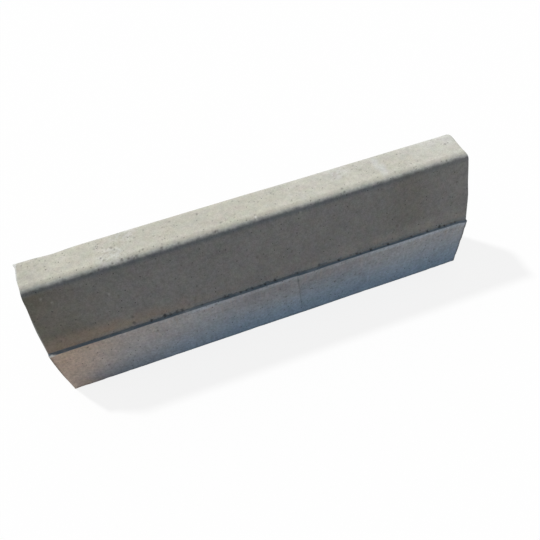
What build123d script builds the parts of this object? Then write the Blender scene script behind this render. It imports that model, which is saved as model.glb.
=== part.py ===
"""Concrete kerb stone: one pressed concrete block with a battered road face above a vertical foot.

Frame: +X runs along the kerb, -Y faces the road, +Y faces the footway and +Z is up.
The origin is at the centre of the base, which lies on Z = 0. All sizes are in millimetres.
"""

import os

from build123d import *

# Driving dimensions
length = 1000.0
height = 300.0
base_width = 150.0
# Width across the top, measured between the corners before they are rounded
top_width = 90.0
# Height of the vertical foot, which stands below the road surface
foot_height = 150.0
# Step out from the batter to the face of the foot
ledge_depth = 5.0
# Rounding of the two long edges at the top
top_edge_radius = 20.0
# Rounding of the long edge at the head of the foot
foot_arris_radius = 3.0
# Bevel all round both end faces, which keeps the butted ends from spalling
end_arris = 2.5

# Places across the section, from the middle of the base
road_face = -base_width / 2
footway_face = base_width / 2
batter_foot = road_face + ledge_depth
batter_head = footway_face - top_width

with BuildPart() as kerb_stone:
    with BuildSketch(Plane.YZ.offset(-length / 2)) as section:
        with BuildLine() as outline:
            Polyline(
                (road_face, 0),
                (road_face, foot_height),
                (batter_foot, foot_height),
                (batter_head, height),
                (footway_face, height),
                (footway_face, 0),
                close=True,
            )
        make_face()
        top_corners = section.vertices().group_by(Axis.Y)[-1]
        fillet(top_corners, radius=top_edge_radius)
        foot_arris = section.vertices().group_by(Axis.X)[0].sort_by(Axis.Y)[-1]
        fillet(foot_arris, radius=foot_arris_radius)
    extrude(amount=length)
    end_faces = kerb_stone.faces().filter_by(GeomType.PLANE).sort_by(Axis.X)
    chamfer(end_faces[0].edges() + end_faces[-1].edges(), length=end_arris)

kerb_stone.part.label = "kerb_stone"

os.makedirs("parts", exist_ok=True)
export_step(kerb_stone.part, "parts/kerb_stone.step")
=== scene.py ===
import math
import random

import bmesh
import bpy
import numpy as np
from mathutils import Matrix, Vector, noise


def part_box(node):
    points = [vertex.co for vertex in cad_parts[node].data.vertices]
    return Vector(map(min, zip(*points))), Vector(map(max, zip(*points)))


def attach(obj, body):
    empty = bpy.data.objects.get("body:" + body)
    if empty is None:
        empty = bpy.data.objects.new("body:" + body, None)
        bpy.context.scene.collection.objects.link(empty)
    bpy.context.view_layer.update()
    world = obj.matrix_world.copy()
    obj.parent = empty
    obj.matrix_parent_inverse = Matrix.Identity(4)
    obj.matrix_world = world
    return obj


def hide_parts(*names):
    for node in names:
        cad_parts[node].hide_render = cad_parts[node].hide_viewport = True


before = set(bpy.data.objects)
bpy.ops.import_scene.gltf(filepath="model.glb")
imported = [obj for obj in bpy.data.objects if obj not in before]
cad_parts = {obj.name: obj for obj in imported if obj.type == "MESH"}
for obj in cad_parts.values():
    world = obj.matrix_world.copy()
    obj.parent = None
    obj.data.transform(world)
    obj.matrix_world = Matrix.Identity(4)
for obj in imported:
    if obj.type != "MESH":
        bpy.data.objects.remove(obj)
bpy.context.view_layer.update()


# Kerb stone
# The whole object: one block of plain grey concrete, pressed in a steel mould and stripped while green.
# Its top has bleached, its battered road face is painted darker grey as shade, and its foot keeps the
# mould's smooth skin.
low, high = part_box("kerb_stone")
length = high.x - low.x
foot_height = 0.150
ledge_depth = 0.005
top_width = 0.090
top_edge_radius = 0.020
arris_radius = 0.003
base_radius = 0.0015
left_bevel = 0.0012
right_bevel = 0.0025
batter_foot = low.y + ledge_depth
batter_head = high.y - top_width
batter_slope = (batter_head - batter_foot) / (high.z - foot_height)

top_front = (batter_head, high.z)
top_back = (high.y, high.z)
foot_head = (low.y, foot_height)
crease = (batter_foot, foot_height)
base_front = (low.y, low.z)
base_back = (high.y, low.z)
outline = (base_front, foot_head, crease, top_front, top_back, base_back)

block = bmesh.new()
end_face = block.faces.new([block.verts.new((low.x, y, z)) for y, z in outline])
pulled = bmesh.ops.extrude_face_region(block, geom=[end_face], use_keep_orig=True)
far_corners = [part for part in pulled["geom"] if isinstance(part, bmesh.types.BMVert)]
bmesh.ops.translate(block, vec=(length, 0, 0), verts=far_corners)
bmesh.ops.recalc_face_normals(block, faces=block.faces)


def round_long_edge(corner, radius, segments):
    """Rounds the edge that runs along the kerb at this corner of its section."""
    def distance(edge):
        return sum(math.hypot(v.co.y - corner[0], v.co.z - corner[1]) for v in edge.verts)

    edge = min(block.edges, key=distance)
    reach = radius * math.tan(edge.calc_face_angle() / 2)
    bmesh.ops.bevel(block, geom=[edge], offset=reach, segments=segments, profile=0.5,
                    affect="EDGES", material=-1)


round_long_edge(top_front, top_edge_radius, segments=12)
round_long_edge(top_back, top_edge_radius, segments=9)
round_long_edge(foot_head, arris_radius, segments=3)
for corner in (base_front, base_back):
    round_long_edge(corner, base_radius, segments=2)
for end, bevel in ((low.x, left_bevel), (high.x, right_bevel)):
    rim = [e for e in block.edges if all(abs(v.co.x - end) < 1e-6 for v in e.verts)]
    bmesh.ops.bevel(block, geom=rim, offset=bevel, segments=2, profile=0.5,
                    affect="EDGES", material=-1)


def slice_faces(normal, places, wanted):
    """Cuts the wanted faces by planes across the normal, so that their surface can be sculpted."""
    for place in places:
        block.normal_update()
        faces = [f for f in block.faces if wanted(f)]
        edges = {e for f in faces for e in f.edges}
        verts = {v for f in faces for v in f.verts}
        bmesh.ops.bisect_plane(block, geom=[*verts, *edges, *faces], dist=1e-6,
                               plane_co=Vector(normal) * place, plane_no=normal)


def is_end(face):
    """True on the two end faces."""
    return abs(face.normal.x) > 0.9


def is_shown(face):
    """True on the road side and the top, the faces that stay in view in a laid kerb."""
    return not is_end(face) and (face.normal.y < -0.3 or face.normal.z > 0.3)


shown_grid = 0.0025
hidden_grid = 0.005
crease_grid = 0.00125
across, upward = (0, 1, 0), (0, 0, 1)
under_crease = foot_height - 4 * crease_grid
above_lip = foot_height + 8 * crease_grid
road_rows = [
    *np.arange(low.z + shown_grid, under_crease, shown_grid),
    *np.arange(under_crease, above_lip, crease_grid),
    *np.arange(above_lip, high.z - shown_grid, shown_grid),
]
back_rows = np.arange(low.z + hidden_grid, high.z - top_edge_radius, hidden_grid)
top_rows = np.arange(batter_head + shown_grid, high.y - shown_grid, shown_grid)
base_rows = np.arange(low.y + 2 * hidden_grid, high.y - arris_radius, 2 * hidden_grid)
ledge_rows = np.arange(low.y + arris_radius, batter_foot, crease_grid)
over_ledge = foot_height + ledge_depth
slice_faces(upward, road_rows, lambda f: f.normal.y < -0.5 and not is_end(f))
slice_faces(upward, back_rows, lambda f: f.normal.y > 0.5 and not is_end(f))
slice_faces(across, top_rows, lambda f: f.normal.z > 0.95 and f.calc_center_median().z > over_ledge)
slice_faces(across, ledge_rows, lambda f: f.normal.z > 0.95 and f.calc_center_median().z < over_ledge)
slice_faces(across, base_rows, lambda f: f.normal.z < -0.95)


def runs_along(edge, at_least):
    """True for an edge that covers more than this length of the kerb."""
    return abs(edge.verts[0].co.x - edge.verts[1].co.x) > at_least


long_edges = [e for e in block.edges if runs_along(e, length / 2)]
bmesh.ops.subdivide_edges(block, edges=long_edges, cuts=round(length / hidden_grid) - 1)
block.normal_update()
shown_edges = [e for e in block.edges
               if runs_along(e, shown_grid) and all(is_shown(f) for f in e.link_faces)]
bmesh.ops.subdivide_edges(block, edges=shown_edges, cuts=1)


def on_lip_edge(edge):
    """True for an edge along the lowest strip of the batter, just over the crease."""
    return all(v.co.y < 0 and -0.001 < v.co.z - foot_height < 0.008 for v in edge.verts)


lip_edges = [e for e in block.edges if runs_along(e, 1.5 * crease_grid) and on_lip_edge(e)]
bmesh.ops.subdivide_edges(block, edges=lip_edges, cuts=1)
slice_faces(upward, np.arange(low.z + hidden_grid, high.z, hidden_grid), is_end)
slice_faces(across, np.arange(low.y + hidden_grid, high.y, hidden_grid), is_end)

# The sharp inner corner of the ledge stays sharp, and all else is shaded smooth.
sharp_turn = math.radians(50)
block.normal_update()
for face in block.faces:
    face.smooth = True
for edge in block.edges:
    edge.smooth = not edge.is_manifold or edge.calc_face_angle() < sharp_turn

# The points of the clean block, how far each is sunk by the sculpting, and three marks for the finish.
points = np.array([v.co for v in block.verts])
facing = np.array([v.normal for v in block.verts])
x, y, z = points.T
from_end = np.minimum(x - low.x, high.x - x)
on_top = facing[:, 2] > 0.35
on_batter = (z > foot_height + 0.001) & (facing[:, 1] < -0.8)
on_foot = (z < foot_height) & (facing[:, 1] < -0.9)
on_ends = np.abs(facing[:, 0]) > 0.9
sunk = np.zeros(len(points))
hollow = np.zeros(len(points))
pebble = np.zeros(len(points))
torn = np.zeros(len(points))
dice = random.Random(7)


def waves(per_metre, seed):
    """Smooth noise between about -1 and 1 at every point of the block."""
    shift = Vector((seed, 2.7 * seed, 5.1 * seed))
    return np.array([noise.noise(v.co * per_metre + shift) for v in block.verts])


def hump(values, middle, half_width):
    """1 at the middle, falling smoothly to nothing past the half width."""
    return np.exp(-((values - middle) / half_width) ** 2)


def road_side(place, height):
    """The point of the road face, foot or batter, at this place along the kerb and height."""
    face = low.y if height < foot_height else batter_foot + (height - foot_height) * batter_slope
    return place, face, height


# The pressed faces are never quite flat, and the top's back edge swells and dips along its length.
sunk += 0.0004 * (1 + waves(7, 1)) + 0.00015 * (1 + waves(40, 2))
back_edge = hump(y, high.y, 0.03) * on_top
swell = 0.0032 * hump(x, -0.13, 0.10)
dip = 0.0022 * hump(x, -0.425, 0.03)
sunk -= back_edge * (swell - dip)

# Two plates of the mould met on the foot: their joint left a fine groove, with a slight step across it.
seam_place = 0.070
seam_slant = 0.090
seam_middle = foot_height / 2
seam_depth = 0.0006
step_depth = 0.0010
step_reach = 0.15
past_seam = x - seam_place + seam_slant * (z - seam_middle)
step = np.where(past_seam < 0, np.exp(past_seam / step_reach), -0.5 * np.exp(-past_seam / step_reach))
sunk += on_foot * (step_depth * step + seam_depth * hump(past_seam, 0, 0.0012))

# Blowholes: the larger ones stand where they were found, and the small ones are strewn at random.
ragged = waves(230, 4)


def scoop(centre, radius, deep):
    """Sinks a rough-edged pit into the surface and marks it as a hollow."""
    gap = np.linalg.norm(points - centre, axis=1) / radius * (1 + 0.6 * ragged)
    near = gap < 1
    bowl = 1 - gap[near] ** 2
    sunk[near] = np.maximum(sunk[near], deep * bowl)
    hollow[near] = np.maximum(hollow[near], bowl)


edge_turn = math.radians(40)
edge_middle = batter_head + top_edge_radius * 0.7
edge_point = (edge_middle - top_edge_radius * math.sin(edge_turn),
              high.z - top_edge_radius * (1 - math.cos(edge_turn)))
top_holes = ((-0.400, 0.045), (-0.335, 0.043), (-0.329, 0.006), (-0.325, -0.002), (-0.304, 0.024),
             (-0.299, 0.017), (-0.297, 0.030), (-0.255, 0.035), (-0.251, -0.008), (-0.244, -0.006),
             (-0.215, 0.023), (-0.175, 0.051), (-0.115, 0.048), (-0.075, 0.002), (0.195, -0.006),
             (0.470, 0.032))
edge_holes = (-0.310, -0.290, -0.278, -0.260, -0.208, -0.173, -0.092, -0.088, -0.005, 0.198, 0.446)
batter_holes = ((-0.310, 0.172), (-0.312, 0.160), (-0.323, 0.227), (-0.242, 0.222), (-0.145, 0.231),
                (-0.018, 0.215), (0.060, 0.202), (0.202, 0.230), (0.294, 0.212), (0.316, 0.184))
foot_holes = ((-0.423, 0.084), (-0.410, 0.106), (-0.400, 0.049), (-0.270, 0.115), (-0.113, 0.107),
              (0.035, 0.082), (0.044, 0.134), (0.066, 0.126), (0.097, 0.083), (0.138, 0.072),
              (0.160, 0.079), (0.176, 0.072), (0.211, 0.082), (0.224, 0.077), (0.294, 0.101),
              (0.423, 0.078))
found = [(place, depth, high.z) for place, depth in top_holes]
found += [(place, *edge_point) for place in edge_holes]
found += [road_side(place, height) for place, height in batter_holes + foot_holes]
for centre in found:
    nearest = points[np.argmin(np.linalg.norm(points - centre, axis=1))]
    radius = 0.0026 + 0.0012 * dice.random()
    scoop(nearest, radius, 0.5 * radius)
strewn_holes = ((on_top, 65), (on_batter, 50), (on_foot, 25))
for region, count in strewn_holes:
    spots = np.flatnonzero(region)
    for _ in range(count):
        radius = 0.0014 + 0.0014 * dice.random() ** 2
        scoop(points[dice.choice(spots)], radius, 0.5 * radius)

# Pale grains of stone that lie bare in the skin. Each has its place and how bare it is.
bright_grain = (-0.003, edge_point[0] + 0.004, edge_point[1] + 0.002)
# At the left end of the ledge, a pale chip carries a painted highlight.
ledge_chip_and_highlight = (low.x + 0.008, low.y, foot_height - 0.001)
dull_grains = [(-0.401, 0.041, high.z), (-0.100, 0.048, high.z), (-0.060, 0.011, high.z),
               (0.029, 0.012, high.z), road_side(-0.465, 0.270), road_side(-0.448, 0.257),
               road_side(-0.338, 0.237), road_side(0.093, 0.283)]
bare_grains = [(bright_grain, 1.0), (ledge_chip_and_highlight, 0.6)]
bare_grains += [(centre, 0.25) for centre in dull_grains]
grain_radius = 0.0032
grain_height = 0.0012
for centre, bare in bare_grains:
    gap = np.linalg.norm(points - centre, axis=1)
    pebble = np.maximum(pebble, bare * np.clip(1.2 - gap / grain_radius, 0, 1))
sunk -= grain_height * pebble

# Along the crease the paste tore as the mould came off, and left dark holes in the foot of the batter.
# Each has its place along the kerb, its height over the crease and how open it is.
# Below 0, the height is how far out it lies on the ledge.
tears = ((-0.310, 0.008, 0.5), (-0.275, 0.001, 0.7), (-0.244, 0.002, 0.8), (-0.232, 0.001, 0.45),
         (-0.217, 0.002, 0.5), (-0.205, 0.002, 0.5), (-0.160, -0.001, 0.4), (-0.107, 0.001, 0.6),
         (-0.101, -0.002, 0.5), (-0.071, -0.002, 0.6), (-0.058, -0.001, 0.6), (-0.044, -0.002, 0.6),
         (-0.024, -0.001, 0.5), (-0.013, -0.001, 0.9), (0.011, 0.001, 0.7), (0.065, 0.000, 0.5),
         (0.118, 0.003, 0.5), (0.166, -0.002, 0.9), (0.212, 0.000, 0.6), (0.220, -0.002, 0.9),
         (0.246, -0.002, 0.9), (0.291, -0.002, 0.8), (0.350, -0.002, 0.8), (0.392, -0.002, 0.8),
         (0.425, 0.000, 0.7), (0.437, -0.002, 0.9), (0.455, -0.002, 0.5), (0.465, -0.002, 0.6))
tear_depth = 0.0025
on_lip = (y > low.y + 0.001) & (y < 0) & (z > foot_height - 0.0015)
over_lip = np.where(y < batter_foot - 0.0003, y - batter_foot, z - foot_height)
for place, climb, opened in tears:
    half_width = 0.0025 + 0.0013 * dice.random()
    gap = np.hypot(x - place, over_lip - climb) / half_width * (1 + 0.6 * ragged)
    bite = np.clip(1.35 - gap, 0, 1) * on_lip * opened
    sunk = np.maximum(sunk, tear_depth * bite)
    torn = np.maximum(torn, np.clip(1.3 * bite, 0, 1))

# The ends are worn back at some corners, and a burr of paste stands out at the top of the left end.
# Each corner has its end, its place in the section, its wear (below 0 it stands out) and its spread.
wear_reach = 0.030
worn_corners = (
    (low.x, (batter_head + 0.006, high.z - 0.004), 0.0040, 0.018),
    (low.x, (-0.028, 0.260), 0.0016, 0.022),
    (low.x, (-0.050, 0.200), -0.0012, 0.035),
    (low.x, (low.y, 0.132), -0.0004, 0.025),
    (low.x, base_front, 0.0065, 0.058),
    (low.x, (high.y - 0.006, high.z - 0.004), -0.0060, 0.013),
    (high.x, (0.014, high.z), 0.0038, 0.020),
    (high.x, (-0.004, high.z), 0.0036, 0.013),
    (high.x, crease, 0.0014, 0.025),
    (high.x, (-0.050, 0.205), -0.0014, 0.020),
    (high.x, base_front, 0.0010, 0.050),
)
worn_back = np.zeros(len(points))
for end, corner, worn, spread in worn_corners:
    from_this_end = np.abs(x - end)
    near_corner = np.exp(-((y - corner[0]) ** 2 + (z - corner[1]) ** 2) / spread ** 2)
    shrink = np.clip(1 - from_this_end / wear_reach, 0, 1) ** 2
    worn_back -= worn * math.copysign(1, end) * near_corner * shrink

# All the arrises of the ends and the base are nibbled.
on_rim = (from_end < 2 * right_bevel) & ~on_ends
on_base_edge = (z < 2 * base_radius) & (np.abs(facing[:, 1]) > 0.2)
sunk += 0.002 * on_rim * np.clip(waves(50, 6) - 0.15, 0, 1)
sunk += 0.0018 * on_base_edge * np.clip(waves(50, 7) - 0.2, 0, 1)

# The ledge sags where it runs out at the right end.
sag_depth = 0.005
sag_start = high.x - 0.030
run_out = np.clip((x - sag_start) / (high.x - sag_start), 0, 1)
sag = sag_depth * run_out ** 2 * (3 - 2 * run_out)
sag = sag * hump(z, foot_height, 0.020) * (y < batter_foot + 0.02)

for vert, point, normal, depth, shift, drop in zip(block.verts, points, facing, sunk, worn_back, sag):
    vert.co = point - normal * depth
    vert.co.x += shift
    vert.co.z -= drop
kerb_mesh = bpy.data.meshes.new("kerb_stone_cast")
block.to_mesh(kerb_mesh)
block.free()
for name, values in (("hollow", hollow), ("pebble", pebble), ("torn", torn)):
    mark = kerb_mesh.attributes.new(name, "FLOAT", "POINT")
    mark.data.foreach_set("value", values.astype(np.float32))
kerb = bpy.data.objects.new("kerb_stone_cast", kerb_mesh)
bpy.context.scene.collection.objects.link(kerb)


class Wire:
    """A socket of a node tree: arithmetic on it adds Math nodes, and node() adds any other node."""

    def __init__(self, tree, socket=None):
        self.tree = tree
        self.socket = socket

    def node(self, kind, settings=(), inputs=(), output=0):
        made = self.tree.nodes.new(kind)
        for name, value in dict(settings).items():
            setattr(made, name, value)
        for name, value in dict(inputs).items():
            if isinstance(value, Wire):
                self.tree.links.new(value.socket, made.inputs[name])
            else:
                made.inputs[name].default_value = value
        return Wire(self.tree, made.outputs[output] if len(made.outputs) else None)

    def math(self, operation, *values):
        return self.node("ShaderNodeMath", {"operation": operation}, enumerate(values))

    def __add__(self, other):
        return self.math("ADD", self, other)

    def __radd__(self, other):
        return self.math("ADD", other, self)

    def __sub__(self, other):
        return self.math("SUBTRACT", self, other)

    def __rsub__(self, other):
        return self.math("SUBTRACT", other, self)

    def __mul__(self, other):
        return self.math("MULTIPLY", self, other)

    def __rmul__(self, other):
        return self.math("MULTIPLY", other, self)

    def __pow__(self, other):
        return self.math("POWER", self, other)

    def __abs__(self):
        return self.math("ABSOLUTE", self)


concrete = bpy.data.materials.new("weathered_concrete")
concrete.use_nodes = True
concrete.node_tree.nodes.clear()
wire = Wire(concrete.node_tree)
spot = wire.node("ShaderNodeTexCoord", output="Object")
along, back, up = (wire.node("ShaderNodeSeparateXYZ", {}, {0: spot}, axis) for axis in "XYZ")


def cloud(per_metre, detail=2.0, stretch=(1, 1, 1), output="Fac"):
    """Soft noise about 0.5, with about this many features to the metre."""
    stretched = wire.node("ShaderNodeMapping", {}, {"Vector": spot, "Scale": stretch})
    return wire.node("ShaderNodeTexNoise", {},
                     {"Vector": stretched, "Scale": per_metre, "Detail": detail}, output)


def fade(value, start, end):
    """Goes smoothly from 0 at start to 1 at end."""
    return wire.node("ShaderNodeMapRange", {"interpolation_type": "SMOOTHSTEP"},
                     {"Value": value, "From Min": start, "From Max": end})


def tint(under, over, share, blend="MIX"):
    """Lays one colour over another, through the Mix node's colour sockets, 6 and 7 in and 2 out."""
    return wire.node("ShaderNodeMix", {"data_type": "RGBA", "blend_type": blend},
                     {0: share, 6: under, 7: over}, 2)


def about(place, near, far):
    """1 up to the near distance from this place along the kerb, and nothing past the far one."""
    return fade(abs(along - place), far, near)


def marked(name):
    """How strongly the sculpting marked this point of the surface."""
    return wire.node("ShaderNodeAttribute", {"attribute_name": name}, {}, "Fac")


plain_grey = (0.37, 0.365, 0.345, 1)
shaded_batter_grey = (0.248, 0.248, 0.246, 1)
bleached_beige = (0.505, 0.494, 0.428, 1)
lime_bloom_and_highlight = (0.60, 0.61, 0.59, 1)
edge_sky_shade = (0.38, 0.43, 0.445, 1)
mould_skin = (0.45, 0.465, 0.49, 1)
arris_highlight = (0.50, 0.555, 0.63, 1)
mid_foot_grey = (0.333, 0.34, 0.366, 1)
edge_shade_slate = (0.168, 0.186, 0.201, 1)
lip_slate = (0.228, 0.262, 0.285, 1)
olive_grime = (0.205, 0.195, 0.165, 1)
road_dust = (0.305, 0.302, 0.295, 1)
splash_and_bounce_brown = (0.312, 0.257, 0.207, 1)
streak_brown = (0.40, 0.33, 0.285, 1)
bounce_light_brown = (0.63, 0.485, 0.38, 1)
sky_shade_slate = (0.271, 0.39, 0.53, 1)
dirt_and_shade_slate = (0.071, 0.108, 0.146, 1)
tear_shade = (0.035, 0.045, 0.055, 1)
pore_shade = (0.13, 0.122, 0.11, 1)
bare_grain_and_highlight = (0.80, 0.79, 0.75, 1)

# Noise from broad clouds down to single grains, and streaks that run up and down.
mottle = cloud(9, 4.0) - 0.5
patches = cloud(38, 3.0) - 0.5
clumps = cloud(135, 2.0) - 0.5
grain = cloud(330, 2.0) - 0.5
streaks = cloud(220, 2.0, stretch=(1, 1, 0.06)) - 0.5
gathered = cloud(16, 2.0)

# Where a point lies: how far over the crease, how far behind the batter, on which face and at which end.
over_crease = up - foot_height + sag_depth * fade(along, sag_start, high.x)
under_skin = back - batter_foot - batter_slope * over_crease
on_road_side = 1 - fade(under_skin, 0.0006, 0.0018)
foot_skin = (1 - fade(over_crease, -0.001, 0.0005)) * (1 - fade(back, low.y + 0.0035, low.y + 0.0045))
# The top's colour fades out over the rounded front edge as painted light, where the lit top turns to
# shade.
lit_top_skin = fade(up + 0.004 * clumps + 0.003 * patches + 0.0005 * fade(along, -0.10, -0.30),
                high.z - 0.0124, high.z - 0.0034)
batter_front = fade(over_crease, 0.0, 0.002) * (1 - fade(under_skin + 0.01 * patches, 0.004, 0.012))
batter_skin = batter_front * (1 - lit_top_skin)
at_right = fade(along + 0.1 * mottle, 0.34, high.x)
at_left = fade(along, -0.41, -0.47)

# The top has bleached to beige. Lime has bloomed on its right half and in three patches, its left rim
# has a painted highlight, and two scuffs cross it.
blooms = ((-0.310, 0.002), (-0.275, 0.058), (0.207, 0.052))
scuffs = ((0.298, 0.038, 0.17), (0.303, 0.012, 0.26))
# The batter's grey is darker than the top by painted shade.
paste = tint(plain_grey, shaded_batter_grey, batter_front)
paste = tint(paste, bleached_beige, lit_top_skin)
# Painted bluish shade lies on the lower turn of the top's rounded edge.
paste = tint(paste, edge_sky_shade, lit_top_skin * fade(up, high.z - 0.0018, high.z - 0.0070) * 0.5)
limed = fade(along, 0.03, 0.13) * (0.08 + 0.12 * fade(back, 0.015, 0.055))
paste = tint(paste, lime_bloom_and_highlight, lit_top_skin * limed)
paste = tint(paste, lime_bloom_and_highlight, lit_top_skin * at_right * (0.16 + 0.30 * fade(back, 0.0, 0.06)))
paste = tint(paste, lime_bloom_and_highlight, lit_top_skin * fade(along, low.x + 0.0045, low.x + 0.0015) * 0.9)
for place, middle in blooms:
    beside_bloom = (along - place) ** 2 + (back - middle) ** 2
    bloomed = fade(beside_bloom, 0.0016, 0.0) * fade(clumps, -0.15, 0.10)
    paste = tint(paste, lime_bloom_and_highlight, lit_top_skin * bloomed * 0.42)
for place, middle, slant in scuffs:
    beside_scuff = abs(along - place - slant * (back - middle) + 0.006 * patches)
    past_scuff = abs(back - middle)
    scuffed = (1 - fade(beside_scuff, 0.001, 0.013)) * (1 - fade(past_scuff, 0.008, 0.028))
    paste = tint(paste, lime_bloom_and_highlight, lit_top_skin * scuffed * 0.65)

# The batter has a painted slate shade under the top's edge and is olive towards its left end. Brown
# splash and painted brown bounce light rise over the crease, road dust lies there on the right, and the
# lip itself is washed with slate.
edge_shade_band = fade(up, high.z - 0.0225, high.z - 0.0115)
paste = tint(paste, edge_shade_slate, batter_skin * edge_shade_band)
grimy = fade(along + 0.3 * mottle, -0.25, low.x) * (1 - 0.8 * edge_shade_band)
paste = tint(paste, olive_grime, batter_skin * grimy)
paste = tint(paste, olive_grime, batter_skin * about(0.355, 0.0, 0.09) * 0.4)
above_crease = batter_skin * fade(over_crease, 0.040, 0.012)
# Painted brown bounce light rises over the crease towards the left end.
paste = tint(paste, splash_and_bounce_brown, above_crease * fade(along + 0.6 * patches, -0.08, -0.46))
paste = tint(paste, road_dust, above_crease * fade(along + 0.3 * patches, 0.14, 0.40) * 0.9)
paste = tint(paste, road_dust, batter_skin * at_right * 0.45)
washed_lip = fade(over_crease, 0.011, 0.001) * fade(along, -0.43, -0.36)
paste = tint(paste, lip_slate, batter_skin * washed_lip * 0.6)
splashed = batter_skin * fade(over_crease, 0.028, 0.008) * fade(patches, -0.06, 0.14)
paste = tint(paste, splash_and_bounce_brown, splashed * (0.20 + 0.25 * fade(along, -0.10, -0.25)))
# A painted highlight runs along the batter's left rim.
paste = tint(paste, lime_bloom_and_highlight, batter_front * fade(along, low.x + 0.0030, low.x + 0.0008) * 0.5)

# The foot has painted bluish sky shade towards the ground, painted brown bounce light at the left and
# darker grey in the middle. It has a painted highlight along its head, painted shade along its base and
# right end, and is darker along its left end.
# Painted bluish sky shade deepens towards the ground.
foot_paste = tint(mould_skin, sky_shade_slate, fade(up, 0.150, -0.010))
mid_foot = about(0.08, 0.08, 0.28) * fade(up, 0.05, 0.13) * (1 - 0.5 * fade(up, 0.128, 0.138))
foot_paste = tint(foot_paste, mid_foot_grey, mid_foot)
streaked = fade(streaks, 0.02, 0.22) * fade(over_crease, -0.080, -0.015)
foot_paste = tint(foot_paste, streak_brown, streaked * 0.35)
# Painted brown bounce light warms the foot towards its left end.
leftward = along + 0.2 * mottle
bounce_lit = 0.30 * fade(leftward, -0.08, -0.34) + 0.60 * fade(leftward, -0.32, -0.51)
bounce_lit = bounce_lit * (0.60 + 0.40 * up.math("MAXIMUM", fade(up, 0.0, 0.07), at_left))
foot_paste = tint(foot_paste, bounce_light_brown, bounce_lit)
# A painted bluish highlight runs along the foot's head, under the arris.
under_arris = fade(over_crease, -0.018, -0.009)
arris_unlit = 0.65 * about(0.15, 0.06, 0.14) + 0.35 * about(-0.06, 0.03, 0.07)
arris_unlit = arris_unlit * fade(over_crease, -0.0035, -0.0065)
arris_lit = fade(along + 0.3 * patches, -0.45, 0.30) * (0.9 - arris_unlit)
foot_paste = tint(foot_paste, arris_highlight, under_arris * (arris_lit + 0.5 * about(-0.15, 0.02, 0.05)))
past_joint = along - seam_place + seam_slant * (up - seam_middle)
right_of_seam = fade(past_joint, 0.0, 0.004) * (1 - fade(past_joint, 0.10, 0.24))
right_of_seam = right_of_seam * fade(up, 0.125, 0.095)
# Painted bluish shade also lies on the lower foot right of the seam.
foot_paste = tint(foot_paste, sky_shade_slate, right_of_seam * 0.22)
# Painted shade darkens the foot along its base, where it meets the floor.
foot_paste = tint(foot_paste, dirt_and_shade_slate, fade(up, 0.008, 0.003) * (0.35 - 0.25 * at_left))
# Painted shade darkens the rim of the right end, and the rim of the left end is darker too.
foot_paste = tint(foot_paste, pore_shade, fade(along, high.x - 0.0085, high.x - 0.0040) * 0.55)
foot_paste = tint(foot_paste, pore_shade, fade(along, low.x + 0.0065, low.x + 0.0020) * 0.5)
paste = tint(paste, foot_paste, foot_skin)

# The tone wanders over every face, and some places are a little lighter or darker than the rest.
fine = (0.46 * clumps + 0.58 * grain) * (1 - 0.25 * lit_top_skin)
tone = 1.0 + 0.18 * mottle + 0.24 * patches + fine - 0.085 * lit_top_skin * fade(along, -0.38, low.x)
# A painted highlight lightens the top along its rounded front edge.
beside_edge = abs(back + 0.003)
tone = tone + 0.05 * lit_top_skin * (1 - fade(beside_edge, 0.002, 0.012))
tone = tone - 0.09 * batter_skin * fade(along, 0.15, -0.45) * fade(up, 0.235, 0.275)
tone = tone + above_crease * (0.08 * about(-0.34, 0.02, 0.09) + 0.09 * about(0.15, 0.02, 0.07))
tone = tone - 0.06 * foot_skin * right_of_seam
tone = tone + foot_skin * (0.20 * streaks + 0.25 * clumps + 0.20 * patches)
left_stain = fade(along, -0.24, -0.34) - fade(along, -0.45, -0.50)
tone = tone - 0.16 * foot_skin * fade(up, 0.055, 0.010) * left_stain
left_middle = fade(along, -0.22, -0.34) - fade(along, -0.40, -0.47)
tone = tone + 0.05 * foot_skin * fade(up, 0.030, 0.070) * fade(up, 0.125, 0.100) * left_middle
paste = tint(paste, tone, 1.0, "MULTIPLY")
paste = tint(paste, cloud(55, 2.0, output="Color"), 0.10, "SOFT_LIGHT")

# Pores and pinholes pepper the skin as painted shade, dirt has settled in the seam, and painted shade
# darkens the sculpted pits.
pores = fade(cloud(240, 3.0) + 0.35 * gathered, 0.85, 0.95)
paste = tint(paste, pore_shade, pores * (0.35 + 0.30 * lit_top_skin))
from_pinhole = wire.node("ShaderNodeTexVoronoi", {}, {"Vector": spot, "Scale": 75.0}, "Distance")
pinholes = 1 - fade(from_pinhole, 0.06, 0.13)
paste = tint(paste, pore_shade, pinholes * 0.7)
paste = tint(paste, tear_shade, (batter_skin + foot_skin) * pinholes * 0.6)
beside_seam = abs(past_joint + 0.003 * patches)
on_seam = (1 - fade(beside_seam, 0.0006, 0.0026)) * fade(patches, -0.25, 0.05)
on_seam = on_seam * fade(up, 0.145, 0.130) * fade(up, 0.008, 0.035)
paste = tint(paste, dirt_and_shade_slate, foot_skin * on_seam * 0.32)
paste = tint(paste, pore_shade, marked("hollow") * 0.65)

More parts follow.
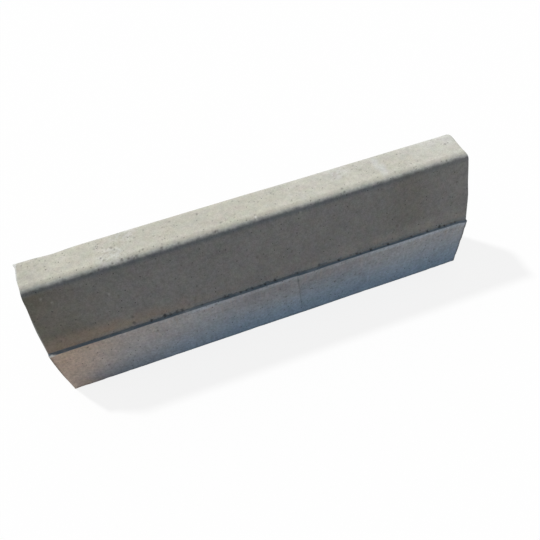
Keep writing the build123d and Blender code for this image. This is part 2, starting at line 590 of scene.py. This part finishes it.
# Dirt and painted shade fill the crease. They climb raggedly on to the lip, but for one clean-cut
# stretch, and thin out towards the right. The head of the foot is chipped pale at the left end, with a
# painted highlight there.
clean_cut = about(-0.165, 0.035, 0.060)
ragged_lip = fade(along, -0.36, -0.28) * fade(along, 0.40, 0.34) * (1 - clean_cut)
ragged_lip = 0.0004 + 0.0030 * (ragged_lip * fade(clumps, -0.02, 0.15))
lower_lip = 0.0012 * (about(-0.02, 0.08, 0.20) * (1 - 0.5 * clean_cut) + fade(along, 0.40, 0.44))
in_crease = fade(over_crease + lower_lip + 0.003 * patches, -0.0052, -0.0034)
in_crease = in_crease * (1 - fade(over_crease - ragged_lip, -0.0006, 0.0010)) * on_road_side
washed_corner = 0.5 - 0.32 * fade(along, 0.20, 0.05)
in_crease = in_crease * (1 - washed_corner * fade(under_skin, -0.0030, 0.0))
faded = 0.12 * fade(patches, 0.0, 0.2) + 0.10 * fade(along, 0.36, 0.44) + 0.15 * clean_cut
paste = tint(paste, dirt_and_shade_slate, in_crease * (0.95 - faded))
knocked_and_lit = fade(over_crease, -0.0085, -0.0060) * (1 - fade(over_crease, -0.0025, -0.0010))
paste = tint(paste, bare_grain_and_highlight, foot_skin * knocked_and_lit * fade(along, low.x + 0.020, low.x + 0.005))
paste = tint(paste, tear_shade, marked("torn") * 0.9)
paste = tint(paste, bare_grain_and_highlight, marked("pebble"))

# Grains stand out and pores go in, by less than the mesh can show. The foot is the smoothest face.
height = 0.5 * grain + 0.25 * patches - pores - pinholes
relief = wire.node("ShaderNodeBump", {}, {"Height": height, "Strength": 0.5, "Distance": 0.0012})
roughness = 0.93 - 0.12 * foot_skin + 0.15 * clumps
skin = wire.node("ShaderNodeBsdfPrincipled", {}, {
    "Base Color": paste, "Roughness": roughness, "Specular IOR Level": 0.25, "Normal": relief})
wire.node("ShaderNodeOutputMaterial", {}, {"Surface": skin})
kerb_mesh.materials.append(concrete)

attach(kerb, "root")
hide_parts("kerb_stone")


# Studio floor
# A plain pale floor under the kerb. It is seen almost white and keeps a trace of the kerb's shadow,
# and the light that it throws back on to the kerb is that of grey paving.
floor_half = 12.0
floor_grey = (0.45, 0.45, 0.45, 1)
floor_white = (0.90, 0.90, 0.90, 1)
pure_white = (1, 1, 1, 1)
shadow_share = 0.16
slab = bmesh.new()
bmesh.ops.create_grid(slab, x_segments=1, y_segments=1, size=floor_half)
bmesh.ops.translate(slab, vec=(0, 0, low.z), verts=slab.verts)
floor_mesh = bpy.data.meshes.new("studio_floor")
slab.to_mesh(floor_mesh)
slab.free()
floor = bpy.data.objects.new("studio_floor", floor_mesh)
bpy.context.scene.collection.objects.link(floor)

floor_paint = bpy.data.materials.new("floor_paint")
floor_paint.use_nodes = True
floor_paint.node_tree.nodes.clear()
wire = Wire(floor_paint.node_tree)


def seen():
    """1 for rays that show the background itself: straight, mirrored or refracted."""
    straight, mirrored, refracted = (wire.node("ShaderNodeLightPath", output=name) for name in (
        "Is Camera Ray", "Is Glossy Ray", "Is Transmission Ray"))
    return straight.math("MAXIMUM", straight, straight.math("MAXIMUM", mirrored, refracted))


matt = wire.node("ShaderNodeBsdfDiffuse", {}, {"Color": floor_grey})
shaded = wire.node("ShaderNodeBsdfDiffuse", {}, {"Color": floor_white})
white = wire.node("ShaderNodeEmission", {}, {"Color": pure_white, "Strength": 1.0})
shown = wire.node("ShaderNodeMixShader", {}, {0: shadow_share, 1: white, 2: shaded})
floor_skin = wire.node("ShaderNodeMixShader", {}, {0: seen(), 1: matt, 2: shown})
wire.node("ShaderNodeOutputMaterial", {}, {"Surface": floor_skin})
floor_mesh.materials.append(floor_paint)


# Studio light
# One key stands high behind the kerb's left end, so its top is lit and its road side is in shade.
# The floor and an even surround fill the shade.
key_heading = math.radians(-40)
key_height = math.radians(52)
key_spread = math.radians(4)
key_strength = 2.7
surround_strength = 0.40
key_lamp = bpy.data.lights.new("key", "SUN")
key_lamp.energy = key_strength
key_lamp.angle = key_spread
key = bpy.data.objects.new("key", key_lamp)
key.matrix_world = (
    Matrix.Rotation(-key_heading, 4, "Z")
    @ Matrix.Rotation(key_height - math.pi / 2, 4, "X")
)
bpy.context.scene.collection.objects.link(key)

surround = bpy.data.worlds.new("surround")
surround.use_nodes = True
surround.node_tree.nodes.clear()
bpy.context.scene.world = surround
wire = Wire(surround.node_tree)
fill = wire.node("ShaderNodeBackground", {}, {"Color": pure_white, "Strength": surround_strength})
white = wire.node("ShaderNodeBackground", {}, {"Color": pure_white, "Strength": 1.0})
around = wire.node("ShaderNodeMixShader", {}, {0: seen(), 1: fill, 2: white})
wire.node("ShaderNodeOutputWorld", {}, {"Surface": around})


# Camera
# It looks down on the road side from above the kerb's left half, held a little askew.
# Its lens is shifted, because the kerb stands off the middle of the picture.
camera_place = Vector((-0.22665, -0.76811, 1.04813))
camera_heading = math.radians(12.767)
camera_look_down = math.radians(50.258)
camera_roll = math.radians(-8.077)
camera_lens = bpy.data.cameras.new("camera")
camera_lens.sensor_width = 36.0
camera_lens.lens = 34.595
camera_lens.shift_x = 0.0552
camera_lens.shift_y = 0.0198
camera = bpy.data.objects.new("camera", camera_lens)
camera.matrix_world = (
    Matrix.Translation(camera_place)
    @ Matrix.Rotation(-camera_heading, 4, "Z")
    @ Matrix.Rotation(math.pi / 2 - camera_look_down, 4, "X")
    @ Matrix.Rotation(camera_roll, 4, "Z")
)
bpy.context.scene.collection.objects.link(camera)
bpy.context.scene.camera = camera
bpy.context.scene.view_settings.view_transform = "Standard"
